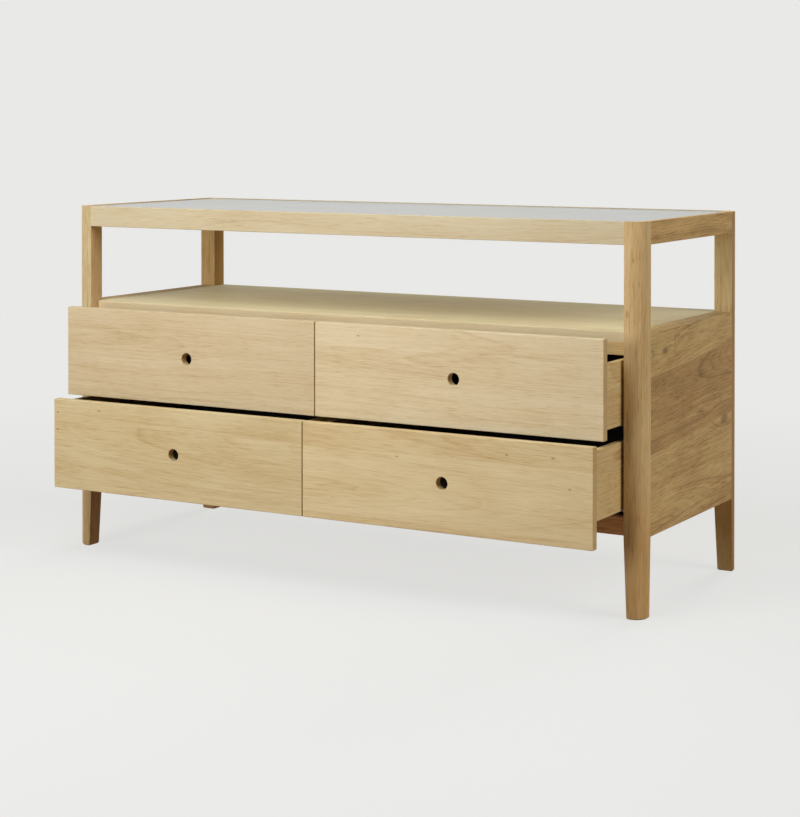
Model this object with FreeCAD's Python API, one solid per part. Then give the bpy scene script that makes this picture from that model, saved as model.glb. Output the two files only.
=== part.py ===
import FreeCAD, Part
import os

# Oak dresser: a four-legged frame with a glass panel let into the top, an open bay over a solid shelf,
# and a case of four drawers in two rows. All lengths are in millimetres.
# The drawers are drawn part of the way out, the lower row further than the upper row.
# X runs along the width, the drawer fronts face -Y, and the feet stand on Z = 0.
# The origin is on the floor, half way along the width and along the depth with the drawers as drawn.

V = FreeCAD.Vector
os.makedirs("parts", exist_ok=True)

# Overall size
width = 1400.0
depth = 525.0
height = 778.0

# Legs
leg_size = 40.0             # square section
leg_round = 26.0            # radius of the outer vertical corner
foot_size = 34.0            # square section at the floor, after the taper of the two inner faces
foot_arris = 2.5            # bevel round the bottom of the foot
arris = 1.2                 # rounding of ordinary wooden edges

# Levels of the case
case_bottom = 158.0         # lower edge of panels, bottom rails and lower drawer fronts
panel_height = 352.0        # side panel
side_rail_height = 51.0     # side rail on top of the panel, level with the shelf
shelf_thickness = 21.0
shelf_arris = 3.0
front_recess = 24.0         # shelf and rails stand this far behind the legs' outer faces
shelf_gap = 1.5             # open joint between the shelf and what stands at its ends

# Rails, panels and joints
top_rail_height = 46.0
top_rail_thickness = 25.0
shelf_rail_height = 27.0
bottom_rail_height = 37.0
panel_thickness = 20.0
back_thickness = 10.0
bottom_thickness = 6.0
bottom_lift = 6.0           # bottom panel above the lower edge of the case
partition_thickness = 20.0
tenon_thickness = 8.0
tenon_length = 18.0
tenon_shoulder = 7.0        # above and below a tenon
tenon_play = 0.15           # round a tenon
tenon_end_play = 0.5        # beyond its end
batten_height = 40.0
batten_drop = 14.0          # batten's lower edge under the drawer box

# Top: glass in its pocket, board under it
glass_thickness = 6.0
glass_sink = 1.5            # glass below the top of the rails
glass_rim = 10.0            # wood left round the pocket
glass_play = 0.5            # round the glass
board_thickness = 16.0

# Drawer fronts
front_thickness = 17.0
front_top_gap = 5.0         # upper fronts below the top of the shelf
front_row_gap = 4.0         # between the rows
front_pair_gap = 2.0        # between the two fronts of a row
front_end_gap = 4.0         # between a front and the leg
front_close_gap = 1.0       # behind a closed front
front_arris = 1.5
hole_diameter = 26.0
hole_arris = 1.0

# Drawer boxes
box_play = 6.0              # beside a box, to the leg and to the partition
box_back_gap = 12.0         # behind a closed box, to the rails at the back
box_side_thickness = 12.0
box_back_thickness = 12.0
box_bottom_thickness = 6.0
box_bottom_lift = 12.0      # box bottom above the lower edge of the sides
groove_depth = 5.0          # in the front and the sides
upper_box_lift = 20.0       # box above the lower edge of its front
lower_box_lift = 53.0
upper_box_play = 6.5        # top of the upper boxes below the rail under the shelf
lower_box_play = 12.0       # top of the lower boxes below the edge of the upper fronts

# Runners: a fixed strip with a hat-shaped rail, and a channel under the box that rides on it
runner_sheet = 1.5
runner_shortfall = 10.0     # runners end this far before the back of a box
runner_front_gap = 3.0      # fixed runner behind the front plane of the case
runner_flange_height = 24.0
runner_under_gap = 4.0      # between the box side and the strip that passes under it
channel_width = 28.0
channel_height = 8.5
channel_side_gap = 1.5      # between the channel and the box side
channel_play = 0.6          # between channel and rail

# How far out the drawers are drawn
upper_out = 93.0
lower_out = 141.0

# Cuts run this far past the material
overrun = 5.0

# An edge counts as running along an axis when this share of it lies that way
along_share = 0.9

# Places that follow from the sizes
case_top = case_bottom + panel_height + side_rail_height
shelf_bottom = case_top - shelf_thickness
closed_face = front_recess - front_close_gap - front_thickness
reach = lower_out - closed_face
leg_front_y = (reach - depth) / 2
glass_seat = height - glass_sink - glass_thickness
inner_x = width / 2 - leg_size
front_height = (case_top - front_top_gap - case_bottom - front_row_gap) / 2
lower_front_bottom = case_bottom
upper_front_bottom = case_bottom + front_height + front_row_gap
upper_box_bottom = upper_front_bottom + upper_box_lift
lower_box_bottom = lower_front_bottom + lower_box_lift
upper_box_top = shelf_bottom - shelf_rail_height - upper_box_play
lower_box_top = upper_front_bottom - lower_box_play
mid_y = leg_front_y + depth / 2
back_of_front = closed_face + front_thickness
box_length = depth - leg_size - box_back_gap - back_of_front
runner_length = box_length - runner_shortfall


def block(x0, x1, d0, d1, z0, z1):
    """A box between two X, two depths behind the legs' front face, and two heights, lower bounds first."""
    return Part.makeBox(x1 - x0, d1 - d0, z1 - z0, V(x0, leg_front_y + d0, z0))


def block_between(xa, xb, da, db, z0, z1):
    """The same box with the two X and the two depths in any order."""
    return block(min(xa, xb), max(xa, xb), min(da, db), max(da, db), z0, z1)


def round_edges(shape, radius, wanted):
    """Rounds the edges whose middle point and direction satisfy wanted(middle, direction)."""
    chosen = []
    for edge in shape.Edges:
        if not isinstance(edge.Curve, (Part.Line, Part.LineSegment)):
            continue
        start, end = edge.Vertexes[0].Point, edge.Vertexes[-1].Point
        if wanted((start + end) * 0.5, (end - start).normalize()):
            chosen.append(edge)
    return shape.makeFillet(radius, chosen)


def save(shape, node):
    shape.exportStep("parts/" + node + ".step")


def both_sides(shape):
    """The left piece and its mirror image on the right."""
    return {"left": shape, "right": shape.mirror(V(0, 0, 0), V(1, 0, 0))}


def at_back(shape):
    """The mirror image at the back of the case of a piece at the front."""
    return shape.mirror(V(0, mid_y, 0), V(0, 1, 0))


def rounded_plate(half_x, d0, d1, radius, z0, z1):
    """A flat plate with four rounded corners."""
    plate = block(-half_x, half_x, d0, d1, z0, z1)
    return plate.makeFillet(radius, [e for e in plate.Edges
                                     if abs((e.Vertexes[-1].Point - e.Vertexes[0].Point).z) > (z1 - z0) / 2])


# Joints between rails and legs: every tenon is kept here so that the legs get its mortise
mortises = []


def tenons_x(half_length, d_mid, z0, z1):
    """The two tenons at the ends of a rail along X, and their mortises."""
    solid = None
    for side in (-1, 1):
        tip = half_length + tenon_length
        half_cut = tenon_thickness / 2 + tenon_play
        tenon = block_between(side * half_length, side * tip, d_mid - tenon_thickness / 2,
                              d_mid + tenon_thickness / 2, z0 + tenon_shoulder, z1 - tenon_shoulder)
        mortises.append(block_between(side * (half_length - overrun), side * (tip + tenon_end_play),
                                      d_mid - half_cut, d_mid + half_cut,
                                      z0 + tenon_shoulder - tenon_play, z1 - tenon_shoulder + tenon_play))
        solid = tenon if solid is None else solid.fuse(tenon)
    return solid


def tenons_y(x_mid, z0, z1):
    """The two tenons at the ends of a piece between the legs of the left side, and their mortises."""
    solid = None
    for d_near, way in ((leg_size, -1), (depth - leg_size, 1)):
        d_far = d_near + way * tenon_length
        tenon = block_between(x_mid - tenon_thickness / 2, x_mid + tenon_thickness / 2, d_near, d_far,
                              z0 + tenon_shoulder, z1 - tenon_shoulder)
        half_cut = tenon_thickness / 2 + tenon_play
        cut = block_between(x_mid - half_cut, x_mid + half_cut, d_near - way * overrun,
                            d_far + way * tenon_end_play,
                            z0 + tenon_shoulder - tenon_play, z1 - tenon_shoulder + tenon_play)
        mortises.append(cut)
        mortises.append(both_sides(cut)["right"])
        solid = tenon if solid is None else solid.fuse(tenon)
    return solid


def cross_rail(d0, d1, z0, z1, tenon_mid):
    """A rail along X between two legs."""
    rail = block(-inner_x, inner_x, d0, d1, z0, z1)
    middle = leg_front_y + (d0 + d1) / 2
    rail = round_edges(rail, arris, lambda mid, way: abs(way.x) > along_share and mid.y < middle)
    return rail.fuse(tenons_x(inner_x, tenon_mid, z0, z1)).removeSplitter()


def side_piece(thickness, z0, z1, tenon_mid, rounded):
    """A rail or panel along Y between the two legs of the left side."""
    outer = -width / 2
    piece = block(outer, outer + thickness, leg_size, depth - leg_size, z0, z1)
    piece = round_edges(piece, arris, lambda mid, way: abs(way.y) > along_share
                        and mid.x < outer + thickness / 2 and rounded(mid.z))
    return piece.fuse(tenons_y(outer + tenon_mid, z0, z1)).removeSplitter()


# Glass and its pocket
pocket = rounded_plate(width / 2 - glass_rim, glass_rim, depth - glass_rim, leg_round - glass_rim,
                       glass_seat, height + overrun)
glass_inset = glass_rim + glass_play
glass = rounded_plate(width / 2 - glass_inset, glass_inset, depth - glass_inset, leg_round - glass_inset,
                      glass_seat, height - glass_sink)
save(glass, "glass_top")

# Top rails
top_rail_bottom = height - top_rail_height
top_front = cross_rail(0, top_rail_thickness, top_rail_bottom, height, top_rail_thickness / 2).cut(pocket)
save(top_front, "top_rail_front")
top_back = at_back(top_front)
mortises.extend([at_back(cut) for cut in mortises])
save(top_back, "top_rail_back")
top_side = side_piece(top_rail_thickness, top_rail_bottom, height, top_rail_thickness / 2, lambda z: True)
top_side = top_side.cut(pocket)
for side, shape in both_sides(top_side).items():
    save(shape, "top_rail_" + side)

# Board under the glass, between the rails and notched round the legs
board = block(-width / 2 + top_rail_thickness, width / 2 - top_rail_thickness, top_rail_thickness,
              depth - top_rail_thickness, glass_seat - board_thickness, glass_seat)
leg_corner = block(-width / 2, -inner_x, 0, leg_size, glass_seat - board_thickness - overrun,
                   glass_seat + overrun)
for corner in both_sides(leg_corner).values():
    board = board.cut(corner).cut(at_back(corner))
save(board, "top_board")

# Side rails beside the shelf and side panels under them
side_rail = side_piece(leg_size, case_top - side_rail_height, case_top, panel_thickness / 2,
                       lambda z: z > case_top - side_rail_height / 2)
for side, shape in both_sides(side_rail).items():
    save(shape, "side_rail_" + side)
side_panel = side_piece(panel_thickness, case_bottom, case_bottom + panel_height, panel_thickness / 2,
                        lambda z: True)
for side, shape in both_sides(side_panel).items():
    save(shape, "side_panel_" + side)

# Rails under the shelf and at the bottom, front and back
rail_mid = (front_recess + leg_size) / 2
first = len(mortises)
for name, z0, z1 in (("shelf_rail", shelf_bottom - shelf_rail_height, shelf_bottom),
                     ("bottom_rail", case_bottom, case_bottom + bottom_rail_height)):
    rail = cross_rail(front_recess, leg_size, z0, z1, rail_mid)
    save(rail, name + "_front")
    save(at_back(rail), name + "_back")
mortises.extend([at_back(cut) for cut in mortises[first:]])

# Legs: a rounded section, a straight length above and a tapered length below the case


def leg_section(size, z, inset):
    """The leg's outline at a height: outer corner rounded, inner corner square, all set in by inset."""
    x0, y0 = -width / 2 + inset, leg_front_y + inset
    x1, y1 = -width / 2 + size - inset, leg_front_y + size - inset
    radius = leg_round - inset
    diagonal = radius / 2 ** 0.5
    arc = Part.Arc(V(x0, y0 + radius, z), V(x0 + radius - diagonal, y0 + radius - diagonal, z),
                   V(x0 + radius, y0, z))
    corners = [V(x0 + radius, y0, z), V(x1, y0, z), V(x1, y1, z), V(x0, y1, z), V(x0, y0 + radius, z)]
    lines = [Part.LineSegment(a, b).toShape() for a, b in zip(corners, corners[1:])]
    return Part.Wire([arc.toShape()] + lines)


upper_leg = Part.Face(leg_section(leg_size, case_bottom, 0)).extrude(V(0, 0, height - case_bottom))
lower_leg = Part.makeLoft([leg_section(foot_size, 0, foot_arris), leg_section(foot_size, foot_arris, 0),
                           leg_section(leg_size, case_bottom, 0)], True, True)
leg = upper_leg.fuse(lower_leg).removeSplitter()
for row, pair in (("front", both_sides(leg)), ("back", both_sides(at_back(leg)))):
    for side, shape in pair.items():
        shape = shape.cut(pocket)
        for cut in mortises:
            if cut.BoundBox.intersect(shape.BoundBox):
                shape = shape.cut(cut)
        save(shape, "leg_" + row + "_" + side)

# Shelf between the side rails, from the front plane of the case to the back faces of the legs
shelf_half = inner_x - shelf_gap
shelf = block(-shelf_half, shelf_half, front_recess, depth, shelf_bottom, case_top)
shelf = round_edges(shelf, shelf_arris, lambda mid, way: abs(way.x) > along_share and mid.y < mid_y
                    and mid.z > case_top - shelf_thickness / 2)
shelf = round_edges(shelf, arris, lambda mid, way: mid.y > leg_front_y + front_recess + shelf_arris
                    and mid.z > case_top - arris)
save(shelf, "shelf")

# Back panel on the back rails, bottom panel between the rails
save(block(-inner_x, inner_x, depth - front_recess, depth - front_recess + back_thickness, case_bottom,
           shelf_bottom), "back_panel")
floor_z = case_bottom + bottom_lift
save(block(-width / 2 + panel_thickness, width / 2 - panel_thickness, leg_size, depth - leg_size, floor_z,
           floor_z + bottom_thickness), "bottom_panel")

# Centre partition, notched round the four rails
half_partition = partition_thickness / 2
partition = block(-half_partition, half_partition, front_recess, depth - front_recess,
                  floor_z + bottom_thickness, shelf_bottom)
for z0, z1 in ((case_bottom, case_bottom + bottom_rail_height),
               (shelf_bottom - shelf_rail_height, shelf_bottom)):
    notch = block(-partition_thickness, partition_thickness, front_recess - overrun, leg_size, z0, z1)
    partition = partition.cut(notch).cut(at_back(notch))
save(partition, "centre_partition")

# Drawers: modelled closed on the left, mirrored to the right, then drawn out
left_limit = -inner_x + front_end_gap
right_limit = -front_pair_gap / 2
box_left = -inner_x + box_play
box_right = -half_partition - box_play


def finger_hole(z_mid):
    """The round hole through a front."""
    centre_x = (left_limit + right_limit) / 2
    return Part.makeCylinder(hole_diameter / 2, front_thickness + 2 * overrun,
                             V(centre_x, leg_front_y + closed_face - overrun, z_mid), V(0, 1, 0))


def drawer(front_bottom, box_z, box_top):
    """All solids of one left drawer, closed, and the fixed runners under it."""
    floor = box_z + box_bottom_lift
    inner_l = box_left + box_side_thickness
    inner_r = box_right - box_side_thickness
    box_end = back_of_front + box_length

    bottom = block(inner_l - groove_depth, inner_r + groove_depth, back_of_front - groove_depth, box_end,
                   floor, floor + box_bottom_thickness)
    back = block(inner_l, inner_r, box_end - box_back_thickness, box_end, floor + box_bottom_thickness,
                 box_top)
    back = round_edges(back, arris, lambda mid, way: abs(way.x) > along_share and mid.z > box_top - arris)
    sides = {}
    for name, x0 in (("left", box_left), ("right", inner_r)):
        side = block(x0, x0 + box_side_thickness, back_of_front - groove_depth, box_end, box_z, box_top)
        side = round_edges(side, arris,
                           lambda mid, way: abs(way.y) > along_share and mid.z > box_top - arris)
        sides[name] = side.cut(bottom)

    front = block(left_limit, right_limit, closed_face, back_of_front,
                  front_bottom, front_bottom + front_height)
    front = front.cut(finger_hole(front_bottom + front_height / 2))
    rim = [e for e in front.Edges if isinstance(e.Curve, Part.Circle)
           and abs(e.CenterOfMass.y - leg_front_y - closed_face) < front_thickness / 2]
    front = front.makeFillet(hole_arris, rim)
    face_y = leg_front_y + closed_face
    front = round_edges(front, front_arris,
                        lambda mid, way: mid.y < face_y + front_arris or abs(way.y) > along_share)
    for piece in (bottom, sides["left"], sides["right"]):
        front = front.cut(piece)

    # Channels under the box bottom, one inside each box side, open downwards
    channel_top = floor
    hollow_width = channel_width - 2 * runner_sheet
    rail_width = hollow_width - 2 * channel_play
    rail_top = channel_top - runner_sheet - channel_play
    strip_bottom = box_z - runner_under_gap - runner_sheet
    channels, fixed = [], []
    fixed_start = front_recess + runner_front_gap
    for wall_x, way in ((-inner_x, 1), (-half_partition, -1)):
        near = wall_x + way * (box_play + box_side_thickness + channel_side_gap)
        far = near + way * channel_width
        shell = block_between(near, far, back_of_front, back_of_front + runner_length,
                              channel_top - channel_height, channel_top)
        inside = block_between(near + way * runner_sheet, far - way * runner_sheet,
                               back_of_front - overrun, back_of_front + runner_length + overrun,
                               channel_top - channel_height - overrun, channel_top - runner_sheet)
        channels.append(shell.cut(inside))
        rail_near = near + way * (runner_sheet + channel_play)
        rail_far = rail_near + way * rail_width
        d0, d1 = fixed_start, fixed_start + runner_length
        strip = block_between(wall_x, rail_far, d0, d1, strip_bottom, strip_bottom + runner_sheet)
        flange = block_between(wall_x, wall_x + way * runner_sheet, d0, d1, strip_bottom,
                               strip_bottom + runner_flange_height)
        hat = block_between(rail_near, rail_far, d0, d1, strip_bottom, rail_top)
        hat = hat.cut(block_between(rail_near + way * runner_sheet, rail_far - way * runner_sheet,
                                    d0 - overrun, d1 + overrun, strip_bottom - overrun,
                                    rail_top - runner_sheet))
        fixed.append(strip.fuse(flange).fuse(hat).removeSplitter())
    moving = {"front": front, "side_left": sides["left"], "side_right": sides["right"], "back": back,
              "bottom": bottom, "channels": Part.makeCompound(channels)}
    return moving, Part.makeCompound(fixed)


swap = {"side_left": "side_right", "side_right": "side_left"}
for row, front_bottom, box_bottom, box_top, out in (
        ("upper", upper_front_bottom, upper_box_bottom, upper_box_top, upper_out),
        ("lower", lower_front_bottom, lower_box_bottom, lower_box_top, lower_out)):
    moving, fixed = drawer(front_bottom, box_bottom, box_top)
    for side, shape in both_sides(fixed).items():
        save(shape, "fixed_runners_" + row + "_" + side)
    for name, solid in moving.items():
        for side, shape in both_sides(solid).items():
            shape.translate(V(0, -out, 0))
            part_name = swap.get(name, name) if side == "right" else name
            save(shape, "drawer_" + row + "_" + side + "_" + part_name)
    # Battens on the side panels, which bring the wall out to the legs' inner faces
    batten_z = box_bottom - batten_drop
    batten = block(-width / 2 + panel_thickness, -inner_x, leg_size, depth - leg_size, batten_z,
                   batten_z + batten_height)
    for side, shape in both_sides(batten).items():
        save(shape, "runner_batten_" + row + "_" + side)
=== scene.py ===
from math import radians

import bpy
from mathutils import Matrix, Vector


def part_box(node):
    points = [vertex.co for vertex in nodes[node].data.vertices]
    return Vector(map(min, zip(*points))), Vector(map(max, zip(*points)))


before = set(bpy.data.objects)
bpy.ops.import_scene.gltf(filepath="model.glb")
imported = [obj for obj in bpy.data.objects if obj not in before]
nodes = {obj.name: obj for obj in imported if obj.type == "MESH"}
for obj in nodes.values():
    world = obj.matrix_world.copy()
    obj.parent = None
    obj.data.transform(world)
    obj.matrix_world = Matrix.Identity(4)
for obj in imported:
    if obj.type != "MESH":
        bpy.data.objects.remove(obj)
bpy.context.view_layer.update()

# An oak dresser: a four-legged frame with a grey glass panel let into the top, an open bay over a shelf,
# and four drawers on steel runners. Lengths are in metres and pattern sizes come from real sizes in MM.
MM = 0.001


def linear(colour):
    """A hex colour as linear light, with full opacity."""
    shares = [int(colour[i:i + 2], 16) / 255 for i in (1, 3, 5)]
    return [s / 12.92 if s <= 0.04045 else ((s + 0.055) / 1.055) ** 2.4 for s in shares] + [1.0]


def add(tree, kind, inputs=None, **settings):
    """Adds a node, sets its properties, and fills or links its inputs.

    A node given as an input lends its first output that is on."""
    new = tree.nodes.new("ShaderNode" + kind)
    for name, value in settings.items():
        setattr(new, name, value)
    for key, value in (inputs or {}).items():
        socket = new.inputs[key] if isinstance(key, int) else next(
            s for s in new.inputs if s.enabled and s.name == key)
        if isinstance(value, bpy.types.Node):
            value = next(s for s in value.outputs if s.enabled)
        if isinstance(value, bpy.types.NodeSocket):
            tree.links.new(value, socket)
        else:
            socket.default_value = value
    return new


def new_material(name):
    """An empty node material, its tree and its output node."""
    made = bpy.data.materials.new(name)
    made.use_nodes = True
    made.node_tree.nodes.clear()
    return made, made.node_tree, made.node_tree.nodes.new("ShaderNodeOutputMaterial")


def dress(material, *names):
    """Gives CAD nodes a material in place of what they had."""
    for name in names:
        data = nodes[name].data
        data.materials.clear()
        data.materials.append(material)


# Oak. Fibres and pores are drawn wider than the real 0.3 mm so that they show.
RING_GAP = 3.7 * MM
LATE_WOOD = 0.3             # the share of a ring after which it darkens
PORE_WIDTH = 1.3 * MM
PORE_LENGTH = 34 * MM
PORE_CUT = (0.52, 0.72)     # where in the noise a pore begins and is full
FIBRE_WIDTH = 1.5 * MM
FIBRE_LENGTH = 90 * MM
STREAK_WIDTH = 4 * MM
STREAK_LENGTH = 150 * MM
CLOUD_WIDTH = 60 * MM
CLOUD_LENGTH = 170 * MM
BAND_WIDTH = 17 * MM        # broad darker and paler groups of rings
RELIEF = 0.25 * MM
RELIEF_STRENGTH = 0.35
PORE_DEPTH = 0.7            # pores and ring lines sink by these shares of the relief
LINE_DEPTH = 0.4
DULL = (0.6, 0.75)          # roughness of the oiled face and of its pores

# Where the tree's heart lies from each board's middle, and how it wanders
HEART_SPREAD = 120 * MM     # how far to each side luck puts it
HEART_DEPTH = 14 * MM       # how deep it lies before luck and the wandering add to that
DEPTH_SPREAD = 60 * MM      # what luck adds to the depth at most
LEAN = 0.07                 # its steepest slope against the board
SWAY_TURNS = (1.3, 2, 2)    # turns of the wandering per metre: along, across and through
SWAY_ASIDE = 50 * MM
SWAY_DEEP = 60 * MM
RIPPLES = ((7 * MM, (4, 22, 22)), (1.6 * MM, (16, 90, 90)))     # height, and turns per metre
DICE_SPREAD = 9.0           # metres by which a board's pattern is moved at most
SEED_STEP = 7.3

# Knots, in their own radii
KNOT_LENGTH = 2.0
KNOT_REACH = 5.0            # where the rings run straight again
KNOT_SWELL = 2.4            # how far the knot pushes the rings
KNOT_CORE = 0.3             # the stain is full up to here
KNOT_RIM = 1.3              # and gone from here
KNOT_STAIN = "#5E4020"

# The faces where the painted light and shade of the edges and the darker end grain set in and are full, as a
# share of the normal
EDGE_TURN = (0.45, 0.8)
END_TURN = (0.6, 0.9)
SOAKED_END = "#F3E4C8"

# Painted shade: the legs darken towards the feet, as shade falls near the floor; the heights where it starts
# and where it is full
FOOT_TOP = 320 * MM
FOOT_BOTTOM = 120 * MM
FOOT_SHADE_TINT = "#EFE2CE"
NO_DARKENING = "#FFFFFF"


def oiled_oak(name, grain, tones, seed, *names, board=0.0, joint=0.0, figure=1.0, contrast=1.0, rise=0.0,
              knots=(), edge_shading=None, painted_foot_shade=False):
    """Solid oak, planed, sanded and oiled: matt, warm, with fine pores, growth rings and end grain.

    It is given to the named nodes and centred on the first. grain names the axes along the grain, across the
    boards and through them. Boards of the given width are glued edge to edge, with one joint at the given
    place; otherwise the piece is a single timber. Tones run from dark to light. figure is the strength of the
    rings and contrast that of the whole pattern. On a side piece the grain may rise to the back by an angle.
    Each knot is (along, across, through, radius, darkness), from the centre. The faces across the boards may
    take tones of their own, which paint light and shade as it falls differently on them. A leg may be painted
    darker towards its foot, as painted shade near the floor."""
    made, tree, out = new_material(name)
    dress(made, *names)
    low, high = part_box(names[0])
    coordinates = add(tree, "TexCoord")
    centred = add(tree, "Mapping", {"Vector": coordinates.outputs["Object"], "Location": -(low + high) / 2})
    turned = add(tree, "Mapping", {"Vector": centred, "Rotation": (-rise, 0, 0)})
    split = add(tree, "SeparateXYZ", {0: turned})
    along, across, through = [split.outputs[axis] for axis in grain]

    # Each board has its own random numbers
    if board:
        count = add(tree, "Math", {0: across, 1: 1 / board, 2: -joint / board}, operation="MULTIPLY_ADD")
        number = add(tree, "Math", {0: count}, operation="FLOOR")
        within = add(tree, "Math", {0: count, 1: number}, operation="SUBTRACT")
        local = add(tree, "Math", {0: within, 1: board, 2: -board / 2}, operation="MULTIPLY_ADD")
        key = add(tree, "Math", {0: number, 1: seed * SEED_STEP}, operation="ADD")
    else:
        local = across
        key = seed * SEED_STEP
    dice = add(tree, "TexWhiteNoise", {"W": key}, noise_dimensions="1D").outputs["Color"]
    luck = add(tree, "SeparateColor", {0: dice})
    place = add(tree, "CombineXYZ", {0: along, 1: across, 2: through})
    shifted = add(tree, "VectorMath", {0: dice, 1: (DICE_SPREAD,) * 3, 2: place}, operation="MULTIPLY_ADD")

    # The tree's heart leans and wanders slowly under the board, which draws the arches of the figure
    slow = add(tree, "VectorMath", {0: shifted, 1: SWAY_TURNS}, operation="MULTIPLY")
    wander = add(tree, "TexNoise", {"Vector": slow, "Scale": 1.0, "Detail": 1.0})
    sway = add(tree, "SeparateColor", {0: wander.outputs["Color"]})
    aside = add(tree, "Math", {0: luck.outputs[0], 1: 2 * HEART_SPREAD, 2: -HEART_SPREAD},
                operation="MULTIPLY_ADD")
    aside = add(tree, "Math", {0: sway.outputs[0], 1: SWAY_ASIDE, 2: aside}, operation="MULTIPLY_ADD")
    sideways = add(tree, "Math", {0: local, 1: aside}, operation="ADD")
    lean = add(tree, "Math", {0: luck.outputs[2], 1: 2 * LEAN, 2: -LEAN}, operation="MULTIPLY_ADD")
    deep = add(tree, "Math", {0: along, 1: lean, 2: HEART_DEPTH}, operation="MULTIPLY_ADD")
    deep = add(tree, "Math", {0: luck.outputs[1], 1: DEPTH_SPREAD, 2: deep}, operation="MULTIPLY_ADD")
    deep = add(tree, "Math", {0: sway.outputs[1], 1: SWAY_DEEP, 2: deep}, operation="MULTIPLY_ADD")
    depth = add(tree, "Math", {0: through, 1: deep}, operation="ADD")
    flat = add(tree, "CombineXYZ", {0: sideways, 1: depth})
    radius = add(tree, "VectorMath", {0: flat}, operation="LENGTH").outputs["Value"]
    for swing, turns in RIPPLES:
        ripple_place = add(tree, "VectorMath", {0: shifted, 1: turns}, operation="MULTIPLY")
        ripple = add(tree, "TexNoise", {"Vector": ripple_place, "Scale": 1.0, "Detail": 1.0})
        radius = add(tree, "Math", {0: ripple, 1: swing, 2: radius}, operation="MULTIPLY_ADD")

    # Knots push the rings aside and darken the wood
    stain = 0.0
    for knot_along, knot_across, knot_through, size, darkness in knots:
        offset = add(tree, "VectorMath", {0: place, 1: (knot_along, knot_across, knot_through)},
                     operation="SUBTRACT")
        oval = add(tree, "VectorMath", {0: offset, 1: (1 / (KNOT_LENGTH * size), 1 / size, 1 / size)},
                   operation="MULTIPLY")
        distance = add(tree, "VectorMath", {0: oval}, operation="LENGTH").outputs["Value"]
        swell = add(tree, "MapRange",
                    {"Value": distance, "From Min": KNOT_REACH, "From Max": 0.0,
                     "To Max": KNOT_SWELL * size},
                    interpolation_type="SMOOTHERSTEP")
        radius = add(tree, "Math", {0: radius, 1: swell}, operation="ADD")
        spot = add(tree, "MapRange",
                   {"Value": distance, "From Min": KNOT_RIM, "From Max": KNOT_CORE, "To Max": darkness},
                   interpolation_type="SMOOTHSTEP")
        stain = add(tree, "Math", {0: spot, 1: stain}, operation="MAXIMUM")

    # Ring lines, which differ from year to year, and broad bands follow the rings
    rings = add(tree, "Math", {0: radius, 1: 1 / RING_GAP}, operation="MULTIPLY")
    part = add(tree, "Math", {0: rings}, operation="FRACT")
    line = add(tree, "MapRange", {"Value": part, "From Min": LATE_WOOD, "From Max": 1.0},
               interpolation_type="SMOOTHSTEP")
    year = add(tree, "Math", {0: rings}, operation="FLOOR")
    year_luck = add(tree, "TexWhiteNoise", {"W": year}, noise_dimensions="1D").outputs["Value"]
    line = add(tree, "Math", {0: line, 1: year_luck}, operation="MULTIPLY")
    band_place = add(tree, "Math", {0: radius, 1: 1 / BAND_WIDTH}, operation="MULTIPLY")
    bands = add(tree, "TexNoise", {"W": band_place, "Scale": 1.0, "Detail": 3.0, "Roughness": 0.65},
                noise_dimensions="1D")

    # Soft clouds, streaks, fibres and pores run along the grain
    grains = []
    for length, width, detail in ((CLOUD_LENGTH, CLOUD_WIDTH, 3.0), (STREAK_LENGTH, STREAK_WIDTH, 3.0),
                                  (FIBRE_LENGTH, FIBRE_WIDTH, 2.0), (PORE_LENGTH, PORE_WIDTH, 1.0)):
        drawn_out = add(tree, "VectorMath", {0: shifted, 1: (1 / length, 1 / width, 1 / width)},
                        operation="MULTIPLY")
        grains.append(add(tree, "TexNoise", {"Vector": drawn_out, "Scale": 1.0, "Detail": detail}))
    clouds, streaks, fibres, pore_noise = grains
    pores = add(tree, "MapRange", {"Value": pore_noise, "From Min": PORE_CUT[0], "From Max": PORE_CUT[1]},
                interpolation_type="SMOOTHSTEP")

    # Each part of the pattern moves the tone by its share, up or down from its usual value
    tone = 0.5
    for source, share, usual in (
            (bands, 0.6 * figure, 0.5), (line, -0.26 * figure, 0.2), (clouds, 0.5, 0.5),
            (streaks, 0.34, 0.5), (fibres, 0.4, 0.5), (pores, -0.24, 0.2), (luck.outputs[2], 0.2, 0.5)):
        weight = share * contrast
        base = add(tree, "Math", {0: tone, 1: weight * usual}, operation="SUBTRACT")
        tone = add(tree, "Math", {0: source, 1: weight, 2: base}, operation="MULTIPLY_ADD")
    # The faces across the boards may take other tones: painted light and shade, for light that falls
    # differently on them
    ramps = []
    for shades in (tones, edge_shading or tones):
        ramp = add(tree, "ValToRGB", {0: tone})
        ramp.color_ramp.elements.new(0.5)
        for stop, shade in zip(ramp.color_ramp.elements, shades):
            stop.color = linear(shade)
        ramps.append(ramp)
    facing = add(tree, "SeparateXYZ", {0: coordinates.outputs["Normal"]})
    edge_on = add(tree, "Math", {0: facing.outputs[grain[1]]}, operation="ABSOLUTE")
    edge = add(tree, "MapRange", {"Value": edge_on, "From Min": EDGE_TURN[0], "From Max": EDGE_TURN[1]})
    wood = add(tree, "Mix", {"Factor": edge, "A": ramps[0], "B": ramps[1]}, data_type="RGBA")

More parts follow.
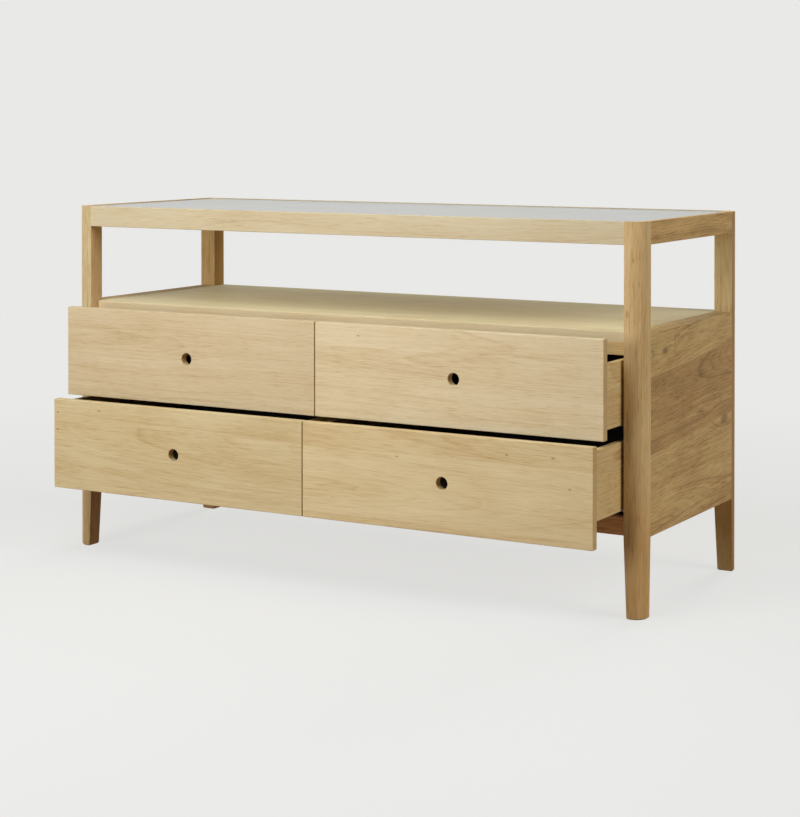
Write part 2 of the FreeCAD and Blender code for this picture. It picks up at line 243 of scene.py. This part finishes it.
    # End grain soaks up more oil and is darker
    end_on = add(tree, "Math", {0: facing.outputs[grain[0]]}, operation="ABSOLUTE")
    end = add(tree, "MapRange", {"Value": end_on, "From Min": END_TURN[0], "From Max": END_TURN[1]})
    soaked = add(tree, "Mix", {"Factor": end, "A": linear(NO_DARKENING), "B": linear(SOAKED_END)},
                 data_type="RGBA")
    wood = add(tree, "Mix", {"Factor": 1.0, "A": wood, "B": soaked}, data_type="RGBA",
               blend_type="MULTIPLY")
    # Painted shade near the floor: the leg darkens towards its foot
    if painted_foot_shade:
        middle = high[2] / 2
        foot = add(tree, "MapRange",
                   {"Value": along, "From Min": FOOT_TOP - middle, "From Max": FOOT_BOTTOM - middle},
                   interpolation_type="SMOOTHSTEP")
        foot_shade = add(tree, "Mix", {"Factor": foot, "A": linear(NO_DARKENING), "B": linear(FOOT_SHADE_TINT)},
                     data_type="RGBA")
        wood = add(tree, "Mix", {"Factor": 1.0, "A": wood, "B": foot_shade}, data_type="RGBA",
                   blend_type="MULTIPLY")
    if knots:
        wood = add(tree, "Mix", {"Factor": stain, "A": wood, "B": linear(KNOT_STAIN)}, data_type="RGBA")

    relief = add(tree, "Math", {0: pores, 1: -PORE_DEPTH}, operation="MULTIPLY")
    relief = add(tree, "Math", {0: line, 1: -LINE_DEPTH, 2: relief}, operation="MULTIPLY_ADD")
    bump = add(tree, "Bump", {"Height": relief, "Strength": RELIEF_STRENGTH, "Distance": RELIEF})
    dull = add(tree, "MapRange", {"Value": pores, "To Min": DULL[0], "To Max": DULL[1]})
    shader = add(tree, "BsdfPrincipled", {"Base Color": wood, "Roughness": dull, "Normal": bump, "IOR": 1.4})
    tree.links.new(shader.outputs[0], out.inputs["Surface"])


ENAMEL_CLOUDS = 3.0                 # per metre, hardly to be seen
ROLLING_MARKS = (900, 25, 900)      # per metre: 1.1 mm across the strip and 40 mm along it


def satin_glass():
    """Float glass with a grey enamel on its back: an even pale grey under a soft, clear reflection."""
    made, tree, out = new_material("Grey enamelled glass")
    place = add(tree, "TexCoord").outputs["Object"]
    cloud = add(tree, "TexNoise", {"Vector": place, "Scale": ENAMEL_CLOUDS, "Detail": 2.0})
    tint = add(tree, "Mix", {"Factor": cloud, "A": linear("#90928D"), "B": linear("#979993")},
               data_type="RGBA")
    satin = add(tree, "MapRange", {"Value": cloud, "To Min": 0.16, "To Max": 0.24})
    shader = add(tree, "BsdfPrincipled", {"Base Color": tint, "Roughness": satin, "IOR": 1.5})
    tree.links.new(shader.outputs[0], out.inputs["Surface"])
    return made


def zinc_steel():
    """Rolled steel strip with a bright zinc coat: grey, faintly streaked along the strip."""
    made, tree, out = new_material("Zinc-plated steel")
    place = add(tree, "TexCoord").outputs["Object"]
    stretched = add(tree, "Mapping", {"Vector": place, "Scale": ROLLING_MARKS})
    rolled = add(tree, "TexNoise", {"Vector": stretched, "Scale": 1.0, "Detail": 2.0})
    tint = add(tree, "Mix", {"Factor": rolled, "A": linear("#A9ACAD"), "B": linear("#C4C7C8")},
               data_type="RGBA")
    rough = add(tree, "MapRange", {"Value": rolled, "To Min": 0.28, "To Max": 0.42})
    shader = add(tree, "BsdfPrincipled", {"Base Color": tint, "Roughness": rough, "Metallic": 1.0})
    tree.links.new(shader.outputs[0], out.inputs["Surface"])
    return made


# Tones of the timbers, each from dark to light
RAIL = ("#AC9169", "#C4B592", "#D2C8AE")
HONEY = ("#A68A5A", "#C6AF80", "#D7C698")
BOX = ("#AC864F", "#D3B57D", "#E6CF9A")
AMBER = ("#7D6436", "#C1A066", "#E5CC91")
DEEP = ("#7F5D2E", "#B08C55", "#D2B478")
TOFFEE = ("#785E31", "#C09A5E", "#E0C083")
BROWN = ("#C28B55", "#F0BD87", "#F9D8A8")
# Near black for the drawers' backs and bottoms: painted shade for the dark inside of the case
INSIDE_SHADE_BLACK = ("#1C150F", "#2B211A", "#3A2E25")
SHELF_EDGE = ("#B5976B", "#CFBC95", "#DACDAD")
# The shelf's top, paler and greyer than its front edge: a painted sheen
SHELF_TOP_SHEEN = ("#BBA171", "#D9CDA3", "#E9E3C1")

# The drawer fronts, each from boards of its own
FRONT_SEEDS = {"upper_left": 21, "upper_right": 102, "lower_left": 57, "lower_right": 72}
# Their tones differ a little from front to front, and also carry a painted sheen: the upper right front is
# paler, and both upper fronts are bluer and whiter
FRONT_TONES = {
    "upper_left": ("#AD8F63", "#C6B38E", "#D5C7A9"),
    "upper_right": ("#B6966A", "#D0BE98", "#DFD2B4"),
    "lower_left": ("#B19361", "#C9B68B", "#D8CCA6"),
    "lower_right": ("#B49362", "#CEB98C", "#DDCDA6"),
}
FRONT_BOARD = 0.135
FRONT_JOINT = 0.051         # a glue joint's height above the middle of the front
FRONT_FACE = -0.0085        # from the middle, as the knots' places are
FRONT_KNOTS = {
    "upper_left": (),
    "upper_right": ((-0.222, 0.075, FRONT_FACE, 0.0016, 0.7),),
    "lower_left": ((-0.317, 0.069, FRONT_FACE, 0.002, 0.6), (-0.317, 0.031, FRONT_FACE, 0.002, 0.6),
                   (-0.201, 0.080, FRONT_FACE, 0.002, 0.6)),
    "lower_right": ((-0.103, 0.045, FRONT_FACE, 0.0018, 0.6), (0.144, 0.069, FRONT_FACE, 0.0016, 0.7),
                    (0.244, 0.071, FRONT_FACE, 0.0028, 0.45), (0.279, 0.014, FRONT_FACE, 0.002, 0.5)),
}

# The legs: the tones are for the faces to the front and back, the side tones for those to the left and right.
# Both paint light and shade: the back legs' front faces are paler as painted light where the top shades them,
# and the side faces are paler on the front legs and much darker on the back legs, painted as the light falls
# on them.
LEG_SEEDS = {"front_left": 2, "front_right": 8, "back_left": 1, "back_right": 7}
LEG_TONES = {
    "front_left": ("#A18453", "#C5B185", "#D9CAA3"),
    "front_right": ("#A07A47", "#C4A572", "#D7BD8C"),
    "back_left": ("#B68C4D", "#E0BC7E", "#F3DA9C"),
    "back_right": ("#BD975C", "#E7CC92", "#FDE9B3"),
}
LEG_SIDE_LIGHT_AND_SHADE = {
    "front_left": ("#B18752", "#D8B681", "#EECFA0"),
    "front_right": ("#AB844C", "#D2B27A", "#E6CA95"),
    "back_left": ("#8C6125", "#AE8340", "#BE9951"),
    "back_right": ("#82592A", "#9F7946", "#B08C58"),
}
LEG_FACE = -0.02
LEG_KNOTS = {
    "front_right": ((0.313, -0.001, LEG_FACE, 0.003, 0.3), (0.208, -0.013, LEG_FACE, 0.004, 0.3)),
}

for corner, seed in LEG_SEEDS.items():
    oiled_oak(f"Oiled oak, {corner.replace('_', ' ')} leg", "ZXY", LEG_TONES[corner], seed,
              f"leg_{corner}", figure=0.4, contrast=1.5, knots=LEG_KNOTS.get(corner, ()),
              edge_shading=LEG_SIDE_LIGHT_AND_SHADE[corner], painted_foot_shade=True)
oiled_oak("Oiled oak, top rails", "XZY", RAIL, 11, "top_rail_front", "top_rail_back", figure=0.6)

# The grain of the side pieces rises a little to the back, and their knots lie near the outer face
for side, way, seed in (("left", -1, 12), ("right", 1, 17)):
    rail_knots = ((-0.15, -0.011, way * 0.02, 0.008, 0.7),)
    panel_knots = ((0.178, -0.008, way * 0.01, 0.012, 0.6), (0.044, 0.034, way * 0.01, 0.004, 0.5))
    oiled_oak(f"Oiled oak, {side} top rail", "YZX", TOFFEE, seed, f"top_rail_{side}", figure=0.8,
              contrast=1.3, rise=radians(2))
    oiled_oak(f"Oiled oak, {side} side rail", "YZX", AMBER, seed + 1, f"side_rail_{side}", figure=0.8,
              contrast=1.3, rise=radians(3), knots=rail_knots)
    oiled_oak(f"Oiled oak, {side} side panel", "YZX", DEEP, seed + 2, f"side_panel_{side}", board=0.15,
              figure=0.75, contrast=1.6, rise=radians(4), knots=panel_knots)
# The shelf's top takes a greyer, paler tone than its front edge: a painted sheen on the top
oiled_oak("Oiled oak, shelf", "XYZ", SHELF_TOP_SHEEN, 13, "shelf", board=0.17, figure=0.6, contrast=0.75,
          edge_shading=SHELF_EDGE)
oiled_oak("Oiled oak, rails under the shelf", "XZY", BOX, 14, "shelf_rail_front", "shelf_rail_back")
oiled_oak("Oiled oak, bottom rails", "XZY", BROWN, 15, "bottom_rail_front", "bottom_rail_back",
          contrast=1.8)

ends = list(FRONT_SEEDS)
drawers = [f"drawer_{end}_" for end in ends]
for end, drawer in zip(ends, drawers):
    oiled_oak(f"Oiled oak, {end.replace('_', ' ')} front", "XZY", FRONT_TONES[end], FRONT_SEEDS[end],
              drawer + "front", board=FRONT_BOARD, joint=FRONT_JOINT, figure=0.62, contrast=1.1,
              knots=FRONT_KNOTS[end])
box_sides = [d + s for d in drawers for s in ("side_left", "side_right")]
battens = ["runner_batten_" + end for end in ends]
oiled_oak("Oak, drawer box sides", "YZX", BOX, 41, *box_sides, *battens, board=0.13, contrast=1.5)
# The drawers' backs and bottoms are near black: painted shade for the dark inside of the case
oiled_oak("Black-stained drawer backs", "XZY", INSIDE_SHADE_BLACK, 42, *[d + "back" for d in drawers], board=0.13)
oiled_oak("Oak-veneered board", "XYZ", HONEY, 43, "top_board", "bottom_panel", board=0.16, figure=0.8)
oiled_oak("Black-stained drawer bottoms", "XYZ", INSIDE_SHADE_BLACK, 46, *[d + "bottom" for d in drawers],
          figure=0.8)
oiled_oak("Oak-veneered back panel", "XZY", HONEY, 44, "back_panel", board=0.2, figure=0.8)
oiled_oak("Oak-veneered partition", "YZX", HONEY, 45, "centre_partition", board=0.17)
dress(zinc_steel(), *[d + "channels" for d in drawers], *["fixed_runners_" + end for end in ends])
dress(satin_glass(), "glass_top")

# Floor and world: the pale studio tone, which the camera, reflections and glass all see
STUDIO = "#E9E9E7"
FLOOR_SIZE = 80.0
FLOOR_EVEN_SHARE = 0.81     # how much of the floor near the dresser is its own even tone
FLOOR_NEAR = 1.0            # from here to FLOOR_FAR that share grows to the whole
FLOOR_FAR = 2.6
FLOOR_BOUNCE = "#886D50"    # what the floor throws back on the object


def seen_directly(tree):
    """One for rays from the camera, a reflection or through glass, and nought for light on surfaces."""
    ray = add(tree, "LightPath")
    seen = add(tree, "Math", {0: ray.outputs["Is Camera Ray"], 1: ray.outputs["Is Glossy Ray"]},
               operation="MAXIMUM")
    return add(tree, "Math", {0: seen, 1: ray.outputs["Is Transmission Ray"]}, operation="MAXIMUM")


def studio_floor():
    """Matt studio paper: mostly its own even tone, partly lit, so that shadows on it stay light.

    Far off it is all its own tone, so that it runs into the backdrop with no edge."""
    made, tree, out = new_material("Matt studio paper")
    place = add(tree, "TexCoord").outputs["Object"]
    away = add(tree, "VectorMath", {0: place}, operation="LENGTH").outputs["Value"]
    even_share = add(tree, "MapRange",
                     {"Value": away, "From Min": FLOOR_NEAR, "From Max": FLOOR_FAR,
                      "To Min": FLOOR_EVEN_SHARE, "To Max": 1.0})
    lit = add(tree, "BsdfDiffuse", {"Color": linear(STUDIO)})
    even = add(tree, "Emission", {"Color": linear(STUDIO), "Strength": 1.0})
    seen = add(tree, "MixShader", {0: even_share, 1: lit, 2: even})
    bounce = add(tree, "BsdfDiffuse", {"Color": linear(FLOOR_BOUNCE)})
    paper = add(tree, "MixShader", {0: seen_directly(tree), 1: bounce, 2: seen})
    tree.links.new(paper.outputs[0], out.inputs["Surface"])
    return made


bpy.ops.object.select_all(action="DESELECT")
bpy.ops.mesh.primitive_plane_add(size=FLOOR_SIZE)
floor = bpy.context.object
floor.name = "studio_floor"
floor.data.materials.append(studio_floor())

world = bpy.data.worlds.new("Studio")
bpy.context.scene.world = world
world.use_nodes = True
sky = world.node_tree
sky.nodes.clear()
sky_out = sky.nodes.new("ShaderNodeOutputWorld")
backdrop = add(sky, "Background", {"Color": linear(STUDIO), "Strength": seen_directly(sky)})
sky.links.new(backdrop.outputs[0], sky_out.inputs["Surface"])

LIT_POINT = Vector((0, 0, 0.45))


def soft_sun(name, power, spread, elevation, azimuth):
    """A broad, distant lamp. Azimuth is where its light comes from: 0 is the front, 90 the right side."""
    lamp = bpy.data.lights.new(name, "SUN")
    lamp.energy = power
    lamp.angle = radians(spread)
    holder = bpy.data.objects.new(name, lamp)
    bpy.context.scene.collection.objects.link(holder)
    holder.rotation_euler = (radians(90 - elevation), 0, radians(azimuth))
    return holder


def softbox(name, power, size, place):
    """A square lamp with a diffuser, turned to the lit point, which the camera does not see."""
    lamp = bpy.data.lights.new(name, "AREA")
    lamp.shape = "SQUARE"
    lamp.size = size
    lamp.energy = power
    holder = bpy.data.objects.new(name, lamp)
    bpy.context.scene.collection.objects.link(holder)
    holder.location = place
    holder.rotation_euler = (LIT_POINT - Vector(place)).to_track_quat("-Z", "Y").to_euler()
    holder.visible_camera = False


soft_sun("Left", 0.8, 36, 12, -90)
soft_sun("Right", 1.52, 36, 31, 90)
# The back lamp makes no glare, which would whiten the shelf in a view from the front
back_sun = soft_sun("Back", 3.0, 24, 12, 180)
back_sun.visible_glossy = False
softbox("Softbox left of the camera", 38.5, 1.2, (-0.9, -2.9, 1.0))
softbox("High softbox in front", 37.5, 1.5, (0.0, -1.6, 2.2))

# Camera at the photograph's place: thirty degrees to the right of the front, a little above the top. It is
# almost level, and the lens shift brings the dresser into the frame with its legs upright.
FRAME_WIDTH = 800
FOCAL_PIXELS = 1988
SENSOR_WIDTH = 36           # in millimetres
CAMERA_PLACE = (2.2215, -3.767, 0.984)
CAMERA_DOWN = 0.825         # in degrees, as the turn is
CAMERA_TURN = 30.047
LENS_SHIFT = -0.33
camera_data = bpy.data.cameras.new("Camera")
camera_data.sensor_fit = "HORIZONTAL"
camera_data.sensor_width = SENSOR_WIDTH
camera_data.lens = FOCAL_PIXELS / FRAME_WIDTH * SENSOR_WIDTH
camera_data.shift_y = LENS_SHIFT
camera = bpy.data.objects.new("Camera", camera_data)
camera.location = CAMERA_PLACE
camera.rotation_euler = (radians(90 - CAMERA_DOWN), 0, radians(CAMERA_TURN))
bpy.context.scene.collection.objects.link(camera)
bpy.context.scene.camera = camera
bpy.context.scene.view_settings.view_transform = "Standard"
